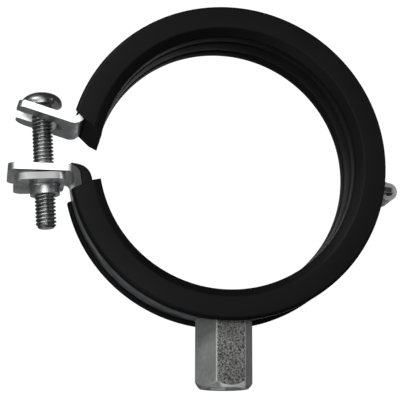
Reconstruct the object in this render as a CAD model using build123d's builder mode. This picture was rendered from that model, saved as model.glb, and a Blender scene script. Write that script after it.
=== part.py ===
from build123d import *
import math
import os

# Rubber lined pipe clamp for a 75 mm pipe: two strip halves hooked together on the
# right, lugs on the left pulled together by one screw, and a hexagon boss underneath.
# X is across the pipe, Y along the pipe, Z up. The origin is the centre of the ring.
# All lengths are millimetres and all angles degrees.

# Ring and steel strip
pipe_seat_r = 37.6          # crests of the rubber that hold the pipe
liner_wall = 5.6            # rubber from its crests to the strip
liner_fit = 0.1             # rubber to steel all round
strip_t = 2.0
strip_w = 20.0
strip_in_r = pipe_seat_r + liner_wall + liner_fit
strip_out_r = strip_in_r + strip_t

# Rubber section
liner_side = 1.3            # rubber beside the strip's edges
lip_t = 1.2                 # rubber lip folded over the strip's outer face
lip_reach = 2.2             # how far the lip covers the strip, from its edge
lip_round = 1.1
crest_chamfer_r = 2.4
crest_chamfer_w = 3.2
groove_w = 1.8
groove_depth = 0.9
groove_pitch = 6.4
liner_half_w = strip_w / 2 + liner_fit + liner_side
lip_in_r = strip_out_r + liner_fit
lip_out_r = lip_in_r + lip_t
lip_edge = strip_w / 2 - lip_reach
tail_in_r = pipe_seat_r + crest_chamfer_r
tail_side = 0.5             # strip edge to the edge of the tongue
tail_half_w = strip_w / 2 - tail_side

# Lower lug and upper lug
bend_in_r = 1.5
lug_corner_r = 3.2
lower_lug_top_z = -2.9
lower_lug_end_x = -strip_out_r - 18.1
upper_lug_start = 164.2     # ring angle at which the upper strip turns outwards
upper_lug_rise = 16.5       # slope of the open upper lug
upper_lug_len = 16.1
bend_out_r = bend_in_r + strip_t

# Rubber ends beside the lugs, as ring angles at the outer and the inner edge
upper_end_outer = 163.8
upper_end_inner = 170.8
lower_end_outer = -167.1
lower_end_inner = -169.8
lower_tail_end = -171.4     # thinner tongue of rubber behind the lower bend
tail_overlap = 2.0          # tongue inside the channel
end_sweep = 20.0            # cleared beyond an end

# Hook hinge on the right
hinge_x = strip_out_r + 3.5
hinge_z = -6.5
hinge_t = 1.3               # both leaves are pressed thinner here
bar_w = 1.6                 # bar at the outer edge of the slotted leaf
leaf_w = 15.4
hook_w = 10.0
hook_side_gap = 0.5
hook_gap = 0.3
hook_tip = 190.0            # ring angle of the hook's free end about the bar
upper_strip_lift = 2.0      # end of the upper strip above the hinge axis
leaf_root_turn = 1.0        # ring angle by which the lower strip stops short of the leaf
root_blend = 3.0            # ring angle over which a strip runs into its leaf or hook
root_overlap = 0.6          # hook inside the upper strip
upper_liner_hinge_end = -4.6
lower_liner_hinge_end = -7.6
hook_in_r = math.hypot(bar_w / 2, hinge_t / 2) + hook_gap
hook_out_r = hook_in_r + hinge_t

# Closing screw and its nut plate, which both lean outwards in the slots
screw_r = 3.0
screw_len = 36.0
screw_lean = 3.85
screw_x = -strip_out_r - 7.4  # screw axis at the top of the nut plate
head_r = 6.0
head_h = 4.4
head_rim = 1.1
dome_x = 0.62               # point on the dome, as parts of its radius and its height
dome_z = 0.68
tip_chamfer = 0.7
recess_w = 1.2
recess_span = 6.4
recess_depth = 2.3
slot_gap = 0.7              # each side of the screw in both lugs
upper_slot_x = screw_x + 1.3  # centre of the round end of the fork
lower_slot_in_x = screw_x + 1.7
lower_slot_out_x = screw_x - 3.3
thread_gap = 0.08
nut_plate_t = 2.0
nut_plate_w = strip_w
nut_plate_in = 5.7          # from the screw axis towards the ring
nut_plate_out = 8.9
nut_plate_corner = 3.4
nut_plate_gap = 0.15
collar_r = 4.3
collar_h = 2.8
collar_root = 0.6
head_lift = 21.5            # top of the nut plate to the underside of the head

# Hexagon boss
boss_across_flats = 15.0
boss_len = 20.2
boss_turn = 6.4
boss_chamfer = 1.5
boss_chamfer_h = 0.9
boss_bore_r = 4.25          # tapping wall of the M10 thread
boss_bore_depth = 15.0
boss_saddle = 0.5           # depth of the foot's saddle, which seats it on the strip
lip_relief = 1.4            # rubber cut back round the boss


def polar(radius, degrees):
    """Point of the ring's section plane at a radius and an angle from +X towards +Z."""
    angle = math.radians(degrees)
    return Vector(radius * math.cos(angle), radius * math.sin(angle))


def radial_plane(degrees):
    """Plane through the ring's axis: its x runs outwards at the angle, its y along the pipe."""
    angle = math.radians(degrees)
    outwards = (math.cos(angle), 0, math.sin(angle))
    return Plane(origin=(0, 0, 0), x_dir=outwards, z_dir=(-math.sin(angle), 0, math.cos(angle)))


def ring_sector(centre, inner_r, outer_r, start, end):
    """Face between two arcs about a centre, from one angle to another."""
    with BuildSketch() as sector:
        with BuildLine():
            inner = CenterArc(centre, inner_r, start, end - start)
            outer = CenterArc(centre, outer_r, start, end - start)
            Line(inner @ 0, outer @ 0)
            Line(inner @ 1, outer @ 1)
        make_face()
    return sector.face()


def channel_section():
    """Rubber channel: ribbed inside, closed round the strip's edges by two lips."""
    groove_in = groove_pitch / 2 - groove_w / 2
    groove_out = groove_pitch / 2 + groove_w / 2
    groove_r = pipe_seat_r + groove_depth
    seat_r = strip_in_r - liner_fit
    edge_y = strip_w / 2 + liner_fit
    with BuildSketch() as section:
        with BuildLine():
            Polyline(
                (seat_r, 0),
                (pipe_seat_r, 0),
                (pipe_seat_r, groove_in),
                (groove_r, groove_in + groove_w / 4),
                (groove_r, groove_out - groove_w / 4),
                (pipe_seat_r, groove_out),
                (pipe_seat_r, liner_half_w - crest_chamfer_w),
                (pipe_seat_r + crest_chamfer_r, liner_half_w),
                (lip_out_r, liner_half_w),
                (lip_out_r, lip_edge),
                (lip_in_r, lip_edge),
                (lip_in_r, edge_y),
                (seat_r, edge_y),
                close=True,
            )
        make_face()
        lip_corner = section.vertices().group_by(Axis.X)[-1].sort_by(Axis.Y)[-1]
        fillet(lip_corner, lip_round)
        mirror(about=Plane.XZ)
    return section.sketch


def end_cut(outer_angle, inner_angle, sweep):
    """Face beyond a slanted rubber end, turned on by the sweep angle."""
    outer = polar(lip_out_r, outer_angle)
    inner = polar(pipe_seat_r, inner_angle)
    reach = (outer - inner) / 2
    near = [outer + reach, inner - reach]
    far = [point.rotate(Axis.Z, sweep) for point in reversed(near)]
    with BuildSketch() as beyond:
        with BuildLine():
            Polyline(*near, *far, close=True)
        make_face()
    return beyond.face()


lower_bend_z = lower_lug_top_z - bend_out_r
lower_lug_start = 180 + math.degrees(math.asin(-lower_bend_z / (strip_out_r + bend_in_r)))
lower_bend = polar(strip_out_r + bend_in_r, lower_lug_start)
leaf_top_z = hinge_z + hinge_t / 2
leaf_under_z = hinge_z - hinge_t / 2
leaf_root = math.degrees(math.asin(leaf_under_z / strip_out_r))
bar_out_x = hinge_x + bar_w / 2
bar_in_x = hinge_x - bar_w / 2
window_in_x = hinge_x - hook_out_r - hook_gap

# Lower strip: half ring, slotted lug on the left, thinner slotted leaf on the right
with BuildPart() as lower_strip:
    with BuildSketch(Plane.XZ) as lower_side:
        add(ring_sector((0, 0), strip_in_r, strip_out_r, lower_lug_start, 360 + leaf_root - leaf_root_turn))
        add(ring_sector(lower_bend, bend_in_r, bend_out_r, lower_lug_start - 180, 90))
        with BuildLine():
            Polyline(
                (lower_bend.X, lower_lug_top_z),
                (lower_lug_end_x, lower_lug_top_z),
                (lower_lug_end_x, lower_lug_top_z - strip_t),
                (lower_bend.X, lower_lug_top_z - strip_t),
                close=True,
            )
        make_face()
    extrude(amount=strip_w / 2, both=True)
    lug_corners = lower_strip.edges().filter_by(Axis.Z).group_by(Axis.X)[0]
    fillet(lug_corners, lug_corner_r)
    with BuildSketch(Plane.XZ) as leaf_side:
        leaf_in_x = strip_in_r * math.cos(math.radians(leaf_root))
        with BuildLine():
            Polyline(
                (leaf_in_x, leaf_under_z - strip_t),
                (leaf_in_x, leaf_top_z),
                (bar_out_x, leaf_top_z),
                (bar_out_x, leaf_under_z),
                (strip_out_r * math.cos(math.radians(leaf_root)), leaf_under_z),
                polar(strip_out_r, leaf_root - root_blend),
                close=True,
            )
        make_face()
        crown = leaf_side.vertices().group_by(Axis.Y)[-1].sort_by(Axis.X)[0]
        fillet(crown, hinge_t)
    extrude(amount=leaf_w / 2, both=True)
    with BuildSketch(Plane.XY.offset(hinge_z)):
        with Locations(((window_in_x + bar_in_x) / 2, 0)):
            Rectangle(bar_in_x - window_in_x, hook_w + 2 * hook_side_gap)
    extrude(amount=strip_t, both=True, mode=Mode.SUBTRACT)
    leaf_corners = lower_strip.edges().filter_by(Axis.Z).group_by(Axis.X)[-1]
    fillet(leaf_corners, bar_w / 2)
    with BuildSketch(Plane.XY.offset(lower_lug_top_z)):
        with Locations(((lower_slot_in_x + lower_slot_out_x) / 2, 0)):
            SlotCenterToCenter(lower_slot_in_x - lower_slot_out_x, 2 * (screw_r + slot_gap))
    extrude(amount=strip_t, both=True, mode=Mode.SUBTRACT)
lower_strip.part.label = "lower_strip"

# Upper strip: half ring, forked lug on the left, hook over the leaf's bar on the right
upper_bend = polar(strip_out_r + bend_in_r, upper_lug_start)
upper_lug_under = -90 - upper_lug_rise
lug_along = Vector(-math.cos(math.radians(upper_lug_rise)), math.sin(math.radians(upper_lug_rise)))
upper_strip_end = math.degrees(math.asin((hinge_z + upper_strip_lift) / strip_in_r))
with BuildPart() as upper_strip:
    with BuildSketch(Plane.XZ):
        add(ring_sector((0, 0), strip_in_r, strip_out_r, upper_strip_end, upper_lug_start))
        add(ring_sector(upper_bend, bend_in_r, bend_out_r, upper_lug_under, upper_lug_start - 180))
        top_root = upper_bend + polar(bend_in_r, upper_lug_under)
        under_root = upper_bend + polar(bend_out_r, upper_lug_under)
        with BuildLine():
            Polyline(
                top_root,
                top_root + lug_along * upper_lug_len,
                under_root + lug_along * upper_lug_len,
                under_root,
                close=True,
            )
        make_face()
    extrude(amount=strip_w / 2, both=True)
    tip_faces = upper_strip.faces().sort_by(Axis.X)[0]
    fillet(tip_faces.edges().filter_by(Axis.Y, reverse=True), lug_corner_r)
    with BuildSketch(Plane.XZ):
        add(ring_sector((hinge_x, hinge_z), hook_in_r, hook_out_r, hook_tip - 360, 90))
        with BuildLine():
            Polyline(
                (hinge_x, hinge_z + hook_in_r),
                (hinge_x, hinge_z + hook_out_r),
                polar(strip_out_r - strip_t / 3, upper_strip_end + root_blend),
                polar(strip_out_r - strip_t / 3, upper_strip_end - root_overlap),
                close=True,
            )
        make_face()
    extrude(amount=hook_w / 2, both=True)
    with BuildSketch(Plane.XY):
        with Locations((upper_slot_x, 0)):
            Circle(screw_r + slot_gap)
        with Locations((upper_slot_x - upper_lug_len / 2, 0)):
            Rectangle(upper_lug_len, 2 * (screw_r + slot_gap))
    extrude(amount=lip_out_r / 2, mode=Mode.SUBTRACT)
upper_strip.part.label = "upper_strip"

# Lower rubber: channel closed round the lower strip, cut back round the boss
boss_corner_r = boss_across_flats / math.sqrt(3)
with BuildPart() as lower_liner:
    with BuildSketch(radial_plane(lower_liner_hinge_end)):
        add(channel_section())
    revolve(axis=Axis.Y, revolution_arc=lower_liner_hinge_end - lower_end_inner)
    with BuildSketch(Plane.XZ):
        add(end_cut(lower_end_outer, lower_end_inner, -end_sweep))
    extrude(amount=liner_half_w, both=True, mode=Mode.SUBTRACT)
    with BuildSketch(Plane.XZ):
        tail_start = lower_end_outer + tail_overlap
        add(ring_sector((0, 0), tail_in_r, strip_in_r - liner_fit, lower_tail_end, tail_start))
    extrude(amount=tail_half_w, both=True)
    with BuildSketch(Plane.XY.offset(-lip_in_r * math.cos(boss_corner_r / lip_in_r))):
        Circle(boss_corner_r + lip_relief)
    extrude(amount=-lip_out_r / 4, mode=Mode.SUBTRACT)
lower_liner.part.label = "lower_liner"

# Upper rubber: the same channel, its lips cut away where the strip turns outwards
with BuildPart() as upper_liner:
    with BuildSketch(radial_plane(upper_end_inner)):
        add(channel_section())
    revolve(axis=Axis.Y, revolution_arc=upper_end_inner - upper_liner_hinge_end)
    with BuildSketch(Plane.XZ):
        add(end_cut(upper_end_outer, upper_end_inner, end_sweep))
    extrude(amount=liner_half_w, both=True, mode=Mode.SUBTRACT)
    with BuildSketch(Plane.XZ):
        add(ring_sector((0, 0), strip_in_r - liner_fit, lip_out_r + lip_t, upper_end_outer - 0.4, 180))
    extrude(amount=strip_w / 2 + liner_fit, both=True, mode=Mode.SUBTRACT)
upper_liner.part.label = "upper_liner"

# Screw axis: it leans outwards from the nut plate, which bears under the lower lug
lean = math.radians(screw_lean)
nut_top_z = lower_lug_top_z - strip_t - nut_plate_gap - nut_plate_in * math.sin(lean)
screw_plane = Plane(
    origin=(screw_x, 0, nut_top_z),
    x_dir=(math.cos(lean), 0, math.sin(lean)),
    z_dir=(-math.sin(lean), 0, math.cos(lean)),
)

# Nut plate: rounded plate under the lower lug with a drawn and tapped collar
with BuildPart() as nut_plate:
    with BuildSketch(screw_plane.offset(-nut_plate_t)):
        with Locations(((nut_plate_in - nut_plate_out) / 2, 0)):
            RectangleRounded(nut_plate_in + nut_plate_out, nut_plate_w, nut_plate_corner)
    extrude(amount=nut_plate_t)
    with BuildSketch(screw_plane.offset(-nut_plate_t)):
        Circle(collar_r)
    extrude(amount=-collar_h)
    root = nut_plate.edges().filter_by(GeomType.CIRCLE).filter_by(
        lambda edge: abs(edge.radius - collar_r) < 0.01
    )
    fillet(root.sort_by(Axis.Z)[-1], collar_root)
    with BuildSketch(screw_plane):
        Circle(screw_r + thread_gap)
    extrude(amount=-(nut_plate_t + collar_h), mode=Mode.SUBTRACT)
nut_plate.part.label = "nut_plate"

# Closing screw: domed head with a cross recess, straight shank, chamfered tip
with BuildPart() as closing_screw:
    with BuildSketch(Plane(screw_plane.origin, x_dir=screw_plane.x_dir, z_dir=(0, -1, 0))):
        with BuildLine():
            tip_y = head_lift - screw_len
            rim = (head_r, head_lift + head_rim)
            Polyline(
                (0, head_lift + head_h),
                (0, tip_y),
                (screw_r - tip_chamfer, tip_y),
                (screw_r, tip_y + tip_chamfer),
                (screw_r, head_lift),
                (head_r, head_lift),
                rim,
            )
            ThreePointArc(
                rim,
                (head_r * dome_x, head_lift + head_rim + (head_h - head_rim) * dome_z),
                (0, head_lift + head_h),
            )
        make_face()
    revolve(axis=Axis(screw_plane.origin, screw_plane.z_dir))
    with BuildSketch(screw_plane.offset(head_lift + head_h)):
        Rectangle(recess_span, recess_w)
        Rectangle(recess_w, recess_span)
    extrude(amount=-recess_depth, mode=Mode.SUBTRACT)
closing_screw.part.label = "closing_screw"

# Boss: chamfered hexagon welded under the ring, tapped from below
boss_top_z = -strip_out_r + boss_saddle
boss_end_z = boss_top_z - boss_len
with BuildPart() as boss:
    with BuildSketch(Plane.XY.offset(boss_end_z)):
        RegularPolygon(boss_corner_r, 6, rotation=boss_turn)
    extrude(amount=boss_len)
    with BuildSketch(Plane.XZ):
        with BuildLine():
            Polyline(
                (0, boss_top_z),
                (boss_corner_r - boss_chamfer, boss_top_z),
                (boss_corner_r, boss_top_z - boss_chamfer_h),
                (boss_corner_r, boss_end_z + boss_chamfer_h),
                (boss_corner_r - boss_chamfer, boss_end_z),
                (0, boss_end_z),
                close=True,
            )
        make_face()
    revolve(axis=Axis.Z, mode=Mode.INTERSECT)
    with BuildSketch(Plane.XY.offset(boss_end_z)):
        Circle(boss_bore_r)
    extrude(amount=boss_bore_depth, mode=Mode.SUBTRACT)
    with BuildSketch(Plane.XZ):
        Circle(strip_out_r)
    extrude(amount=boss_corner_r, both=True, mode=Mode.SUBTRACT)
boss.part.label = "boss"

os.makedirs("parts", exist_ok=True)
for piece in (
    lower_strip, upper_strip, lower_liner, upper_liner, nut_plate, closing_screw, boss
):
    export_step(piece.part, f"parts/{piece.part.label}.step")
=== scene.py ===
import math
import bmesh
import bpy
import numpy as np
from mathutils import Matrix, Vector


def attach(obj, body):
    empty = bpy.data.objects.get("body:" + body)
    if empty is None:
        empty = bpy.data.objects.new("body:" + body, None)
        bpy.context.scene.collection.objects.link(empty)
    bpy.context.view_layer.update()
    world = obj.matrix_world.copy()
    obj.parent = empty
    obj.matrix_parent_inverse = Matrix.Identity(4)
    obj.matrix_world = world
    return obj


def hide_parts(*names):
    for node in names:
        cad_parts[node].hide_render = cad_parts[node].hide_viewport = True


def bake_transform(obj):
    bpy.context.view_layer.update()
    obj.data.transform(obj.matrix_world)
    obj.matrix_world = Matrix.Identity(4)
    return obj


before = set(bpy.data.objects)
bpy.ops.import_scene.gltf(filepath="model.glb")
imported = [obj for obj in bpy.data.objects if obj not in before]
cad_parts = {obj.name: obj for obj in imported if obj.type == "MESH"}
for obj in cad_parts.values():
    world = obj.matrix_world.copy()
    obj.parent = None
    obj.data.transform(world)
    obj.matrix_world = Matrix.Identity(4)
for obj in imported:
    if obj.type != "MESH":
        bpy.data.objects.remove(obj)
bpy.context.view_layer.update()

# ---------------------------------------------------------------- strips and nut plate
# Two halves of steel strip, pressed to their final form with dull sheared sides, and the
# nut plate, a drawn and tapped pressing under the lower lug. All are zinc plated and keep
# their CAD form, with the edges broken here. Painted highlight and shade lie on the sheared
# sides.
MM = 0.001


def shade(obj, degrees):
    """Smooth shading with sharp edges where two faces meet at more than the angle."""
    obj.data.shade_smooth()
    obj.data.set_sharp_from_angle(angle=math.radians(degrees))


def bevel(obj, width_mm, degrees):
    """Rounds the edges sharper than the angle by a width in mm."""
    rounding = obj.modifiers.new("edges", "BEVEL")
    rounding.width = width_mm * MM
    rounding.segments = 3
    rounding.limit_method = "ANGLE"
    rounding.angle_limit = math.radians(degrees)


def grey(value):
    """Neutral colour of one value."""
    return (value, value, value, 1)


def noise(tree, vector, per_metre, detail, rough):
    """Noise texture over a vector; returns its factor."""
    node = tree.nodes.new("ShaderNodeTexNoise")
    node.inputs["Scale"].default_value = per_metre
    node.inputs["Detail"].default_value = detail
    node.inputs["Roughness"].default_value = rough
    tree.links.new(vector, node.inputs["Vector"])
    return node.outputs["Fac"]


def remap(tree, value, low, high, to_low=0.0, to_high=1.0):
    """Clamped linear map of a value from one range to another."""
    node = tree.nodes.new("ShaderNodeMapRange")
    node.inputs["From Min"].default_value = low
    node.inputs["From Max"].default_value = high
    node.inputs["To Min"].default_value = to_low
    node.inputs["To Max"].default_value = to_high
    tree.links.new(value, node.inputs["Value"])
    return node.outputs["Result"]


def mix(tree, factor, a, b, blend="MIX"):
    """Blend of two colours or colour sockets by a factor socket."""
    node = tree.nodes.new("ShaderNodeMix")
    node.data_type = "RGBA"
    node.blend_type = blend
    tree.links.new(factor, node.inputs["Factor"])
    for label, value in (("A", a), ("B", b)):
        socket = next(s for s in node.inputs if s.name == label and s.type == "RGBA")
        if isinstance(value, tuple):
            socket.default_value = value
        else:
            tree.links.new(value, socket)
    return next(s for s in node.outputs if s.type == "RGBA")


def maths(tree, operation, *values):
    """Math node on sockets or plain numbers."""
    node = tree.nodes.new("ShaderNodeMath")
    node.operation = operation
    for socket, value in zip(node.inputs, values):
        if isinstance(value, (int, float)):
            socket.default_value = value
        else:
            tree.links.new(value, socket)
    return node.outputs["Value"]


def vector_maths(tree, operation, vector, other):
    """Vector Math node on a socket and another socket or three plain numbers."""
    node = tree.nodes.new("ShaderNodeVectorMath")
    node.operation = operation
    tree.links.new(vector, node.inputs[0])
    if isinstance(other, tuple):
        node.inputs[1].default_value = other
    else:
        tree.links.new(other, node.inputs[1])
    return node.outputs["Value" if operation == "DOT_PRODUCT" else "Vector"]


def split(tree, vector):
    """Outputs X, Y and Z of a vector."""
    node = tree.nodes.new("ShaderNodeSeparateXYZ")
    tree.links.new(vector, node.inputs["Vector"])
    return node.outputs


def bump(tree, height, strength, distance_mm):
    """Normal of a bump whose strength is a socket or a plain number."""
    node = tree.nodes.new("ShaderNodeBump")
    node.inputs["Distance"].default_value = distance_mm * MM
    if isinstance(strength, float):
        node.inputs["Strength"].default_value = strength
    else:
        tree.links.new(strength, node.inputs["Strength"])
    tree.links.new(height, node.inputs["Height"])
    return node.outputs["Normal"]


def new_group(name, inputs, outputs):
    """Shader node group with (name, kind, default) inputs and (name, kind) outputs."""
    tree = bpy.data.node_groups.new(name, "ShaderNodeTree")
    for label, kind, value in inputs:
        socket = tree.interface.new_socket(label, in_out="INPUT", socket_type=kind)
        socket.default_value = value
    for label, kind in outputs:
        tree.interface.new_socket(label, in_out="OUTPUT", socket_type=kind)
    ends = tree.nodes.new("NodeGroupInput"), tree.nodes.new("NodeGroupOutput")
    return tree, ends[0].outputs, ends[1].inputs


def place_group(tree, group, **values):
    """Puts a group in a material; an underscore in a value's name stands for a space."""
    node = tree.nodes.new("ShaderNodeGroup")
    node.node_tree = group
    for label, value in values.items():
        node.inputs[label.replace("_", " ")].default_value = value
    return node.outputs


# Zinc plate: a soft grain, a blotchy mottle and marks drawn along the strip darken the
# base colour, and convex edges are worn bright
zinc_group, zinc_in, zinc_out = new_group(
    "zinc_plate",
    [
        ("Base", "NodeSocketColor", grey(0.5)), ("Mottle", "NodeSocketFloat", 0.3),
        ("Roughness", "NodeSocketFloat", 0.3), ("Relief", "NodeSocketFloat", 0.1),
        ("Streak", "NodeSocketFloat", 0.4),
    ],
    [
        ("Color", "NodeSocketColor"), ("Roughness", "NodeSocketFloat"),
        ("Normal", "NodeSocketVector"),
    ],
)
shadow_grey, worn_grey = (0.16, 0.165, 0.16, 1), (0.86, 0.87, 0.88, 1)
drawn_stretch = (0.08, 1.0, 0.08)
zinc_coord = zinc_group.nodes.new("ShaderNodeTexCoord").outputs["Object"]
grain = noise(zinc_group, zinc_coord, per_metre=900.0, detail=4.0, rough=0.6)
blotch = noise(zinc_group, zinc_coord, per_metre=2600.0, detail=5.0, rough=0.7)
cloud = noise(zinc_group, zinc_coord, per_metre=220.0, detail=2.0, rough=0.5)
drawn = vector_maths(zinc_group, "MULTIPLY", zinc_coord, drawn_stretch)
streak = noise(zinc_group, drawn, per_metre=1500.0, detail=3.0, rough=0.6)
mottling = maths(
    zinc_group, "MULTIPLY", remap(zinc_group, blotch, 0.38, 0.62), zinc_in["Mottle"]
)
streaks = maths(
    zinc_group, "MULTIPLY", remap(zinc_group, streak, 0.4, 0.68), zinc_in["Streak"]
)
soft = remap(zinc_group, grain, 0.3, 0.7, to_high=0.22)
darkening = maths(zinc_group, "ADD", maths(zinc_group, "ADD", mottling, soft), streaks)
darkened = mix(zinc_group, darkening, zinc_in["Base"], shadow_grey, blend="MULTIPLY")
convex = zinc_group.nodes.new("ShaderNodeNewGeometry").outputs["Pointiness"]
worn = remap(zinc_group, convex, 0.52, 0.6, to_high=0.6)
patchy_gloss = remap(zinc_group, cloud, 0.35, 0.65, to_low=-0.05, to_high=0.12)
for label, value in (
    ("Color", mix(zinc_group, worn, darkened, worn_grey)),
    ("Roughness", maths(zinc_group, "ADD", zinc_in["Roughness"], patchy_gloss)),
    ("Normal", bump(
        zinc_group, maths(zinc_group, "ADD", blotch, grain), zinc_in["Relief"],
        distance_mm=0.12,
    )),
):
    zinc_group.links.new(value, zinc_out[label])


def zinc(name, base, mottle, roughness, relief, streak, metallic=1.0):
    """Zinc plated steel of one base grey, a trace greener than neutral."""
    mat = bpy.data.materials.new(name)
    mat.use_nodes = True
    tree = mat.node_tree
    shader = tree.nodes["Principled BSDF"]
    shader.inputs["Metallic"].default_value = metallic
    plate = place_group(
        tree, zinc_group, Base=(base, base * 1.005, base, 1), Mottle=mottle,
        Roughness=roughness, Relief=relief, Streak=streak,
    )
    tree.links.new(plate["Color"], shader.inputs["Base Color"])
    tree.links.new(plate["Roughness"], shader.inputs["Roughness"])
    tree.links.new(plate["Normal"], shader.inputs["Normal"])
    return mat


# Sheared sides: Mask marks the faces that look along the pipe, and Lug those of them past
# the x at which a lug leaves the ring. Both leave out what lies below the lowest z.
ring_end_x, no_lowest = -0.0455, -1.0
sheared_group, sheared_in, sheared_out = new_group(
    "sheared_edge",
    [
        ("From", "NodeSocketFloat", 0.8), ("Inner End", "NodeSocketFloat", ring_end_x),
        ("Lowest", "NodeSocketFloat", no_lowest),
    ],
    [("Mask", "NodeSocketFloat"), ("Lug", "NodeSocketFloat")],
)
sheared_coord = sheared_group.nodes.new("ShaderNodeTexCoord").outputs
facing_y = split(sheared_group, sheared_coord["Normal"])["Y"]
position = split(sheared_group, sheared_coord["Object"])
past_facing = maths(
    sheared_group, "SUBTRACT", maths(sheared_group, "ABSOLUTE", facing_y),
    sheared_in["From"],
)
past_ring = maths(sheared_group, "SUBTRACT", sheared_in["Inner End"], position["X"])
above_lowest = maths(sheared_group, "SUBTRACT", position["Z"], sheared_in["Lowest"])
side_mask = maths(
    sheared_group, "MULTIPLY", remap(sheared_group, past_facing, 0.0, 0.15),
    remap(sheared_group, above_lowest, 0.0, 0.4 * MM),
)
lug_mask = maths(
    sheared_group, "MULTIPLY", side_mask, remap(sheared_group, past_ring, 0.0, 1.5 * MM)
)
sheared_group.links.new(side_mask, sheared_out["Mask"])
sheared_group.links.new(lug_mask, sheared_out["Lug"])


def paint_edge_light(mat, lug_highlight_grey, inner_light_shade_grey=0.05, lug_end=ring_end_x, lowest=no_lowest):
    """Sheared edges on a zinc finish: a painted highlight grey on the lugs, another grey
    nearer the ring.

    A sheared side is hardly metallic, so its painted grey shows as it is, and a lug's is
    coated in step with its grey.
    """
    cut_specular, cut_metallic, cut_coat = 0.05, 0.1, 0.55
    tree = mat.node_tree
    shader = tree.nodes["Principled BSDF"]
    shader.inputs["Specular IOR Level"].default_value = cut_specular
    sheared = place_group(tree, sheared_group, Inner_End=lug_end, Lowest=lowest)
    colour = shader.inputs["Base Color"].links[0].from_socket
    colour = mix(tree, sheared["Mask"], colour, grey(inner_light_shade_grey))
    colour = mix(tree, sheared["Lug"], colour, grey(lug_highlight_grey))
    metallic = remap(tree, sheared["Mask"], 0.0, 1.0, to_low=1.0, to_high=cut_metallic)
    coat = remap(tree, sheared["Lug"], 0.0, 1.0, to_high=cut_coat * lug_highlight_grey)
    tree.links.new(colour, shader.inputs["Base Color"])
    tree.links.new(metallic, shader.inputs["Metallic"])
    tree.links.new(coat, shader.inputs["Coat Weight"])


# The near white on the strips' lug edges is a painted highlight, and the nut plate's lighter
# front edge is painted light.
strip_finish = dict(base=0.46, mottle=0.35, roughness=0.33, relief=0.25, streak=0.75)
strip_steel = zinc("strip_steel", **strip_finish)
# On the lower strip the dark grey nearer the ring is partly the cut's own dull tone and
# partly painted shade at the bend.
paint_edge_light(strip_steel, lug_highlight_grey=0.97)
# On the upper strip the lighter grey nearer the ring is painted light on the hinge's sides.
fork_steel = zinc("fork_steel", **strip_finish)
paint_edge_light(fork_steel, lug_highlight_grey=0.97, inner_light_shade_grey=0.35, lug_end=-0.0425)
plate_steel = zinc(
    "plate_steel", base=0.6, mottle=0.5, roughness=0.36, relief=0.35, streak=0.3
)
paint_edge_light(plate_steel, lug_highlight_grey=0.36, lowest=-0.0082)
for name, mat, edge_mm in (
    ("lower_strip", strip_steel, 0.22), ("upper_strip", fork_steel, 0.22),
    ("nut_plate", plate_steel, 0.3),
):
    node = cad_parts[name]
    node.data.materials.clear()
    node.data.materials.append(mat)
    shade(node, degrees=32)
    bevel(node, edge_mm, degrees=35)

# ---------------------------------------------------------------- boss
# Hexagon steel bar with turned chamfers, a countersunk mouth and a tapped hole, zinc
# plated. Its foot is a saddle, welded on under the lower strip, and one of its faces is
# rough and pitted.
boss_top, boss_end, boss_flat, bore_r = -44.8, -65.0, 7.5, 4.25
boss_turn = math.radians(6.4)
corner_r = boss_flat / math.cos(math.pi / 6)
corner_cut, pole_r = 0.1, 0.05
top_cone_w, top_cone_h = 1.5, 0.9
end_cone_w, end_cone_h = 1.6, 1.8
saddle_r, saddle_depth = 45.3, 0.7
mouth_h = 0.9
tap_minor_r = bore_r + 0.05
tap_len, tap_pitch, tap_depth, tap_run_in = 14.1, 1.5, 0.7, 0.9


def smoothstep(x, low, high):
    """0 below low, 1 above high, smooth between them."""
    t = np.clip((x - low) / (high - low), 0, 1)
    return t * t * (3 - 2 * t)


def grid_mesh(name, points):
    """Tube from points[row, col] in mm, closed round the columns and capped at both ends.

    The quads are (i, j), (i, j + 1), (i + 1, j + 1), (i + 1, j).
    """
    rows, cols = points.shape[:2]
    index = np.arange(rows * cols).reshape(rows, cols)
    beside = np.roll(index, -1, 1)
    quads = np.stack([index[:-1], beside[:-1], beside[1:], index[1:]], -1)
    caps = [index[0, ::-1].tolist(), index[-1].tolist()]
    mesh = bpy.data.meshes.new(name)
    mesh.from_pydata(
        (points.reshape(-1, 3) * MM).tolist(), [], quads.reshape(-1, 4).tolist() + caps
    )
    mesh.validate()
    obj = bpy.data.objects.new(name, mesh)
    bpy.context.scene.collection.objects.link(obj)
    return obj


def outward(obj):
    """Turns the mesh's face normals consistently outwards."""
    bm = bmesh.new()
    bm.from_mesh(obj.data)
    bmesh.ops.remove_doubles(bm, verts=bm.verts, dist=1e-7)
    bmesh.ops.recalc_face_normals(bm, faces=bm.faces)
    bm.to_mesh(obj.data)
    bm.free()


def boss_profile(cone_rows=9, side_rows=24):
    """Columns of radius limits and z: foot, cone, side, cone, end face, then the mouth."""
    t = np.linspace(0, 1, cone_rows)
    side_top, side_end = boss_top - top_cone_h - 0.05, boss_end + end_cone_h + 0.05
    limit = np.concatenate([
        [pole_r, corner_r - top_cone_w - 0.1], corner_r - top_cone_w * (1 - t),
        np.full(side_rows, corner_r + 1), corner_r - end_cone_w * t,
        [corner_r - end_cone_w - 0.2, 6.4, 6.0, 5.3, 5.2, tap_minor_r],
    ])
    z = np.concatenate([
        [boss_top, boss_top], boss_top - top_cone_h * t,
        np.linspace(side_top, side_end, side_rows), boss_end + end_cone_h * (1 - t),
        np.full(4, boss_end), [boss_end + 0.04, boss_end + mouth_h],
    ])
    return limit[:, None], z[:, None]


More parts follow.
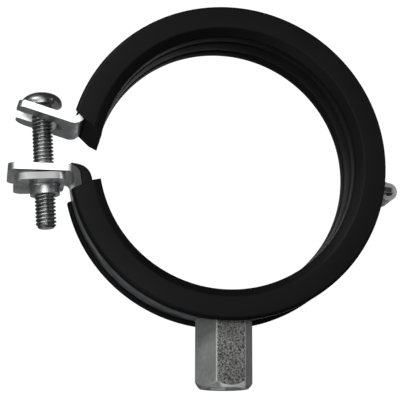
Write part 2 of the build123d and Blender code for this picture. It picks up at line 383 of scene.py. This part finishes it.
def boss_surface(turn_steps=240):
    """Radius r = min(flat / cos(w), corner, limit), with w the angle from a flat's middle.

    The foot's z is lowered to the saddle -sqrt(R^2 - x^2).
    """
    a = np.linspace(0, 2 * np.pi, turn_steps, endpoint=False)[None, :]
    from_middle = (a - boss_turn) % (np.pi / 3) - np.pi / 6
    hexagon = np.minimum(boss_flat / np.cos(from_middle), corner_r - corner_cut)
    limit, z = boss_profile()
    r = np.minimum(limit, hexagon)
    z = z + 0 * a
    saddle = -np.sqrt(saddle_r ** 2 - (r * np.cos(a)) ** 2)
    z = np.where(z > boss_top - saddle_depth, np.minimum(z, saddle), z)
    return np.stack([r * np.cos(a), r * np.sin(a), z], -1)


def bore_surface(turn_steps=240, rows_per_pitch=10):
    """Tapped wall r = minor + depth v(z / pitch - a / 2 pi), up to a flat bottom."""
    mouth_z = boss_end + mouth_h
    z = np.linspace(mouth_z, mouth_z + tap_len, round(tap_len / tap_pitch * rows_per_pitch))
    z = z[:, None]
    a = np.linspace(0, 2 * np.pi, turn_steps, endpoint=False)[None, :]
    phase = (z / tap_pitch - a / (2 * np.pi)) % 1
    v = smoothstep(np.abs(2 * phase - 1), 0.15, 0.85)
    r = tap_minor_r + tap_depth * v * smoothstep(z, mouth_z, mouth_z + tap_run_in)
    r = np.concatenate([r, np.full((1, turn_steps), pole_r)])
    z = np.concatenate([z, z[-1:]]) + 0 * a
    return np.stack([r * np.cos(a), r * np.sin(a), z], -1)


# Faces along one direction: a mask from the dot product of the normal and the direction
facing_group, facing_in, facing_out = new_group(
    "facing",
    [("Direction", "NodeSocketVector", (0, -1, 0)), ("From", "NodeSocketFloat", 0.93)],
    [("Mask", "NodeSocketFloat")],
)
face_normal = facing_group.nodes.new("ShaderNodeTexCoord").outputs["Normal"]
face_dot = vector_maths(facing_group, "DOT_PRODUCT", face_normal, facing_in["Direction"])
past_from = maths(facing_group, "SUBTRACT", face_dot, facing_in["From"])
facing_group.links.new(remap(facing_group, past_from, 0.0, 0.04), facing_out["Mask"])

boss_steel = zinc(
    "boss_steel", base=0.31, mottle=0.1, roughness=0.4, relief=0.08, streak=0.06,
    metallic=0.55,
)
boss_tree = boss_steel.node_tree
boss_color = boss_tree.nodes["Principled BSDF"].inputs["Base Color"]
rough_face_dir = (math.sin(boss_turn), -math.cos(boss_turn), 0)
# The front of the end chamfer, facing down and towards the camera, gets a painted highlight
# in near white.
bright_cone_dir = (0.2, -0.72, -0.66)
pit_black, scale_grey, painted_highlight_grey = grey(0.012), (0.3, 0.3, 0.285, 1), grey(0.95)
rough_face = place_group(boss_tree, facing_group, Direction=rough_face_dir, From=0.94)
chamfer_highlight = place_group(boss_tree, facing_group, Direction=bright_cone_dir, From=0.9)
boss_coord = boss_tree.nodes.new("ShaderNodeTexCoord").outputs["Object"]
pits = noise(boss_tree, boss_coord, per_metre=1900.0, detail=6.0, rough=0.75)
pitted = mix(boss_tree, remap(boss_tree, pits, 0.41, 0.6), pit_black, scale_grey)
boss_finish = mix(boss_tree, rough_face["Mask"], boss_color.links[0].from_socket, pitted)
boss_finish = mix(boss_tree, chamfer_highlight["Mask"], boss_finish, painted_highlight_grey)
boss_tree.links.new(boss_finish, boss_color)

boss = grid_mesh("boss_tapped", np.concatenate([boss_surface(), bore_surface()]))
outward(boss)
shade(boss, degrees=35)
boss.data.materials.append(boss_steel)
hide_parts("boss")
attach(boss, "lower_half")

# ---------------------------------------------------------------- rubber lining
# Extruded black rubber channel, ribbed inside, its two lips closed round the edges of both
# strips. It bends at the hinge, so one piece stands for both halves' rubber.
pipe_seat_r, groove_r, strip_in_r, lip_in_r, lip_out_r = 37.6, 38.5, 43.2, 45.4, 46.6
half_w, seat_half_w, lip_edge, strip_edge = 11.4, 9.2, 7.8, 10.1
groove_in, groove_out, groove_slope, flare_h = 3.4, 5.2, 0.45, 2.4
lower_end_out, lower_end_in = -167.1, -169.8  # slanted ends, degrees at lip and seat
upper_end_out, upper_end_in = 163.8, 170.8
lip_drawn_back, boss_clear_r = 10.05, 10.06
lip_run_out = (162.6, 163.4)
ring_steps = 260


def rounded_loop(corners, steps):
    """Closed outline of (x, y, radius) corners: each corner becomes an arc of its radius.

    The arc's centre lies on the corner's bisector at radius / sin(half the corner's
    angle), and the arc meets both sides at radius / tan(half the angle).
    """
    def unit(vectors):
        return vectors / np.linalg.norm(vectors, axis=-1, keepdims=True)

    here, radius = np.split(np.array(corners, dtype=float), [2], axis=1)
    before = unit(np.roll(here, 1, 0) - here)
    after = unit(np.roll(here, -1, 0) - here)
    half = np.arccos(np.clip((before * after).sum(-1, keepdims=True), -1, 1)) / 2
    centre = here + unit(before + after) * radius / np.sin(half)
    first = here + before * radius / np.tan(half) - centre
    last = here + after * radius / np.tan(half) - centre
    start = np.arctan2(first[:, 1:], first[:, :1])
    turn = (np.arctan2(last[:, 1:], last[:, :1]) - start + np.pi) % (2 * np.pi) - np.pi
    angle = start + turn * np.linspace(0, 1, steps + 1)
    arcs = radius[:, None] * np.stack([np.cos(angle), np.sin(angle)], -1)
    return (centre[:, None] + arcs).reshape(-1, 2)


half_section = [
    (pipe_seat_r, groove_in, 0.35), (groove_r, groove_in + groove_slope, 0.3),
    (groove_r, groove_out - groove_slope, 0.3), (pipe_seat_r, groove_out, 0.35),
    (pipe_seat_r, seat_half_w, 0.9), (pipe_seat_r + flare_h, half_w, 0.9),
    (lip_out_r, half_w, 1.1), (lip_out_r, lip_edge, 0.45), (lip_in_r, lip_edge, 0.25),
    (lip_in_r, strip_edge, 0.2), (strip_in_r, strip_edge, 0.2),
]
other_half = [(r, -y, corner) for r, y, corner in reversed(half_section)]
section = rounded_loop(half_section + other_half, steps=5)


def end_angle(radius, outer_angle, inner_angle):
    """Angle of a slanted end at a radius: linear from the seat to the lip's outside."""
    t = (radius - pipe_seat_r) / (lip_out_r - pipe_seat_r)
    return inner_angle + (outer_angle - inner_angle) * t


def lining_surface():
    """Ring point (r cos a, y, r sin a), with a from the lower to the upper slanted end.

    The lips draw back to the strip's edge inside the circle x^2 + y^2 < clear^2 round the
    boss, and where the upper strip turns outwards.
    """
    t = np.linspace(0, 1, ring_steps + 1)[:, None]
    r, y = section[:, 0] + 0 * t, section[:, 1] + 0 * t
    low = end_angle(section[:, 0], lower_end_out, lower_end_in)
    high = end_angle(section[:, 0], upper_end_out, upper_end_in)
    angle = np.radians(low + (high - low) * t)
    x = lip_out_r * np.cos(angle)
    round_boss = np.sqrt(np.clip(boss_clear_r ** 2 - x ** 2, 0, None))
    edge = np.maximum(lip_edge, np.where(np.sin(angle) < 0, round_boss, 0))
    edge = edge + (lip_drawn_back - edge) * smoothstep(np.degrees(angle), *lip_run_out)
    edge = np.minimum(edge, lip_drawn_back)
    lip_share = (strip_edge - edge) / (strip_edge - lip_edge)
    drawn_y = np.sign(y) * (strip_edge - (strip_edge - np.abs(y)) * lip_share)
    is_lip = (r > strip_in_r + 0.5) & (np.abs(y) < strip_edge)
    return np.stack([r * np.cos(angle), np.where(is_lip, drawn_y, y), r * np.sin(angle)], -1)


# Rubber: near black with a low sheen and a very fine mould grain
rubber = bpy.data.materials.new("rubber")
rubber.use_nodes = True
rubber_tree = rubber.node_tree
rubber_inputs = rubber_tree.nodes["Principled BSDF"].inputs
rubber_inputs["Specular IOR Level"].default_value = 0.09
rubber_coord = rubber_tree.nodes.new("ShaderNodeTexCoord").outputs["Object"]
mould = noise(rubber_tree, rubber_coord, per_metre=1400.0, detail=4.0, rough=0.6)
bloom = noise(rubber_tree, rubber_coord, per_metre=60.0, detail=3.0, rough=0.5)
for label, value in (
    ("Base Color", mix(rubber_tree, bloom, grey(0.0016), grey(0.0032))),
    ("Roughness", remap(rubber_tree, bloom, 0.3, 0.7, to_low=0.5, to_high=0.6)),
    ("Normal", bump(rubber_tree, mould, strength=0.12, distance_mm=0.08)),
):
    rubber_tree.links.new(value, rubber_inputs[label])

lining = grid_mesh("rubber_lining", lining_surface())
outward(lining)
shade(lining, degrees=40)
bevel(lining, 0.3, degrees=50)
lining.data.materials.append(rubber)
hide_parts("lower_liner", "upper_liner")
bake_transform(lining)

# ---------------------------------------------------------------- lining tongue
# Tongue of the same rubber that runs on over the lower lug's bend and thins out on its
# top. It is cut from the channel's floor and held by its spring.
tongue_half_w, tongue_thick, tongue_thin = 9.5, 3.1, 0.5
tongue_start, tongue_stop = -166.0, 80.0  # degrees round the ring and round the bend
bend_x, bend_z, bend_r, bend_start = -46.36, -6.4, 3.6, 7.86
tongue_outline = rounded_loop([
    (0, tongue_half_w, 0.3), (1, tongue_half_w, 0.3),
    (1, -tongue_half_w, 0.3), (0, -tongue_half_w, 0.3),
], steps=4)


def tongue_surface(ring_rows=10, bend_rows=16):
    """Point foot + h n: the foot runs along the strip's inside, then round the bend.

    h goes from 0 to the thickness, which thins smoothly over the bend.
    """
    ring_a = np.radians(np.linspace(tongue_start, bend_start - 180, ring_rows))
    bend_a = np.radians(np.linspace(bend_start, tongue_stop, bend_rows))[1:]
    ring_n = -np.stack([np.cos(ring_a), np.sin(ring_a)], -1)
    bend_n = np.stack([np.cos(bend_a), np.sin(bend_a)], -1)
    bend_centre = np.array([bend_x, bend_z])
    foot = np.concatenate([-strip_in_r * ring_n, bend_centre + bend_r * bend_n])
    normal = np.concatenate([ring_n, bend_n])
    thinned = smoothstep(np.arange(len(foot)), ring_rows - 4, len(foot) - 1)
    thick = tongue_thick + (tongue_thin - tongue_thick) * thinned
    h = tongue_outline[:, 0] * thick[:, None]
    y = tongue_outline[:, 1] + 0 * h
    x, z = foot[:, :1] + h * normal[:, :1], foot[:, 1:] + h * normal[:, 1:]
    return np.stack([x, y, z], -1)


tongue = grid_mesh("lining_tongue", tongue_surface())
outward(tongue)
shade(tongue, degrees=40)
bevel(tongue, 0.35, degrees=50)
tongue.data.materials.append(rubber)
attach(tongue, "lower_half")

# ---------------------------------------------------------------- closing screw
# M6 steel screw with a rolled thread, a chamfered tip and a pan head with a cross recess.
# It is zinc plated and leans outwards through both lugs into the nut plate.
screw_x, lean = -52.7, math.radians(3.85)
screw_r, screw_len, head_lift = 3.0, 36.0, 21.5
thread_pitch, thread_depth, tip_chamfer = 1.1, 0.62, 0.9
plain_below_head = (1.6, 0.5)  # the thread fades out between these lengths from the head
head_r, head_rim, dome_h, dome_start = 6.0, 1.0, 3.4, 2.0
cross_depth, arm_half_w, arm_reach = 2.2, (0.45, 0.75), (2.2, 3.2)
lug_top_z, lug_thick, nut_gap, nut_in = -2.9, 2.0, 0.15, 5.7
nut_top_z = lug_top_z - lug_thick - nut_gap - nut_in * math.sin(lean)
screw_frame = np.array([
    [math.cos(lean), 0, -math.sin(lean), screw_x],
    [0, 1, 0, 0],
    [math.sin(lean), 0, math.cos(lean), nut_top_z],
])


def in_screw_frame(x, y, z):
    """Points given with z along the screw's axis, turned and moved to their place."""
    return np.stack([x, y, z, np.ones_like(x)], -1) @ screw_frame.T


def thread_surface(turn_steps=56, rows_per_pitch=12):
    """Radius r = crest - depth v(z / pitch - a / 2 pi), with v a rounded V from 0 to 1."""
    tip_z = head_lift - screw_len
    rows = int(screw_len / thread_pitch * rows_per_pitch)
    z = np.linspace(tip_z, head_lift, rows)[:, None]
    a = np.linspace(0, 2 * np.pi, turn_steps, endpoint=False)[None, :]
    phase = (z / thread_pitch - a / (2 * np.pi)) % 1
    v = smoothstep(np.abs(2 * phase - 1), 0.12, 0.9)
    fade_from, fade_to = (head_lift - length for length in plain_below_head)
    r = screw_r - thread_depth * v * (1 - smoothstep(z, fade_from, fade_to))
    r = np.minimum(r, screw_r - tip_chamfer + z - tip_z)
    return in_screw_frame(r * np.cos(a), r * np.sin(a), z + 0 * a)


def head_surface(turn_steps=72, dome_rows=44):
    """Rings (r cos a, r sin a, z): the rim, then a dome r = R cos t, z = rim + H sin t.

    The dome dips by the recess's depth within an arm's half width of either axis.
    """
    t = np.linspace(0, np.pi / 2, dome_rows)[1:]
    r = np.concatenate([[screw_r, 5.7, 5.93, head_r, head_r], head_r * np.cos(t)])[:, None]
    lift = np.concatenate([[-0.02, 0, 0.1, 0.35, head_rim], head_rim + dome_h * np.sin(t)])
    lift = lift[:, None]
    r[-1] = 0.02
    a = np.linspace(0, 2 * np.pi, turn_steps, endpoint=False)[None, :]
    x, y = r * np.cos(a), r * np.sin(a)
    in_arm = 1 - smoothstep(np.minimum(np.abs(x), np.abs(y)), *arm_half_w)
    in_reach = 1 - smoothstep(np.hypot(x, y), *arm_reach)
    dip = cross_depth * in_arm * in_reach * (lift > dome_start)
    return in_screw_frame(x, y, head_lift + lift - dip)


def join(name, objects):
    """Joins meshes into the first of them."""
    with bpy.context.temp_override(
        active_object=objects[0], selected_editable_objects=objects, selected_objects=objects
    ):
        bpy.ops.object.join()
    objects[0].name = name
    return objects[0]


screw_steel = zinc(
    "screw_steel", base=0.3, mottle=0.15, roughness=0.3, relief=0.2, streak=0.2
)
shank = grid_mesh("shank", thread_surface())
outward(shank)
head = grid_mesh("head", head_surface())
outward(head)
screw = join("closing_screw_threaded", [shank, head])
shade(screw, degrees=45)
screw.data.materials.append(screw_steel)
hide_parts("closing_screw")
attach(screw, "closing_screw")

# ---------------------------------------------------------------- camera and light
# A long lens low on the left, looking slightly up at the ring
view_turn, view_rise, view_distance = 0.164, 0.2355, 0.4369
look = Vector((
    math.sin(view_turn) * math.cos(view_rise), math.cos(view_turn) * math.cos(view_rise),
    math.sin(view_rise),
))
right = Vector((math.cos(view_turn), -math.sin(view_turn), 0))
camera_axes = Matrix((right, right.cross(look), -look)).transposed()
camera_data = bpy.data.cameras.new("camera")
camera_data.sensor_width, camera_data.lens = 36.0, 132.7
camera_data.shift_x, camera_data.shift_y = -0.0595, -0.08
camera_data.clip_start, camera_data.clip_end = 0.01, 20.0
camera = bpy.data.objects.new("camera", camera_data)
camera.matrix_world = Matrix.Translation(-view_distance * look) @ camera_axes.to_4x4()
scene = bpy.context.scene
scene.collection.objects.link(camera)
scene.camera = camera

# White backdrop behind the ring and a dim room round it
dim_room, white_backdrop = (0.075, 0.077, 0.08, 1), grey(1.05)
world = bpy.data.worlds.new("world")
world.use_nodes = True
scene.world = world
room = world.node_tree
direction = room.nodes.new("ShaderNodeTexCoord").outputs["Generated"]
ahead = vector_maths(room, "DOT_PRODUCT", direction, tuple(look))
room.links.new(
    mix(room, remap(room, ahead, 0.90, 0.955), dim_room, white_backdrop),
    room.nodes["Background"].inputs["Color"],
)


def softbox(name, place, target, size, power):
    """Rectangular area light at a place in metres, turned to a target."""
    data = bpy.data.lights.new(name, "AREA")
    data.shape = "RECTANGLE"
    data.size, data.size_y = size
    data.energy = power
    light = bpy.data.objects.new(name, data)
    scene.collection.objects.link(light)
    aim = (Vector(target) - Vector(place)).to_track_quat("-Z", "Y")
    light.matrix_world = Matrix.Translation(place) @ aim.to_matrix().to_4x4()


softbox("key", (-0.5, -0.55, 0.55), (0, 0, 0), (0.45, 0.3), 7.0)
softbox("front", (-0.15, -0.9, 0.05), (-0.03, 0, 0), (0.25, 0.5), 4.0)
softbox("low", (-0.35, -0.25, -0.5), (-0.02, 0, -0.02), (0.3, 0.2), 1.2)
softbox("right", (0.6, -0.3, 0.2), (0.02, 0, 0), (0.2, 0.5), 1.4)

scene.view_settings.view_transform = "Standard"
bpy.context.view_layer.update()
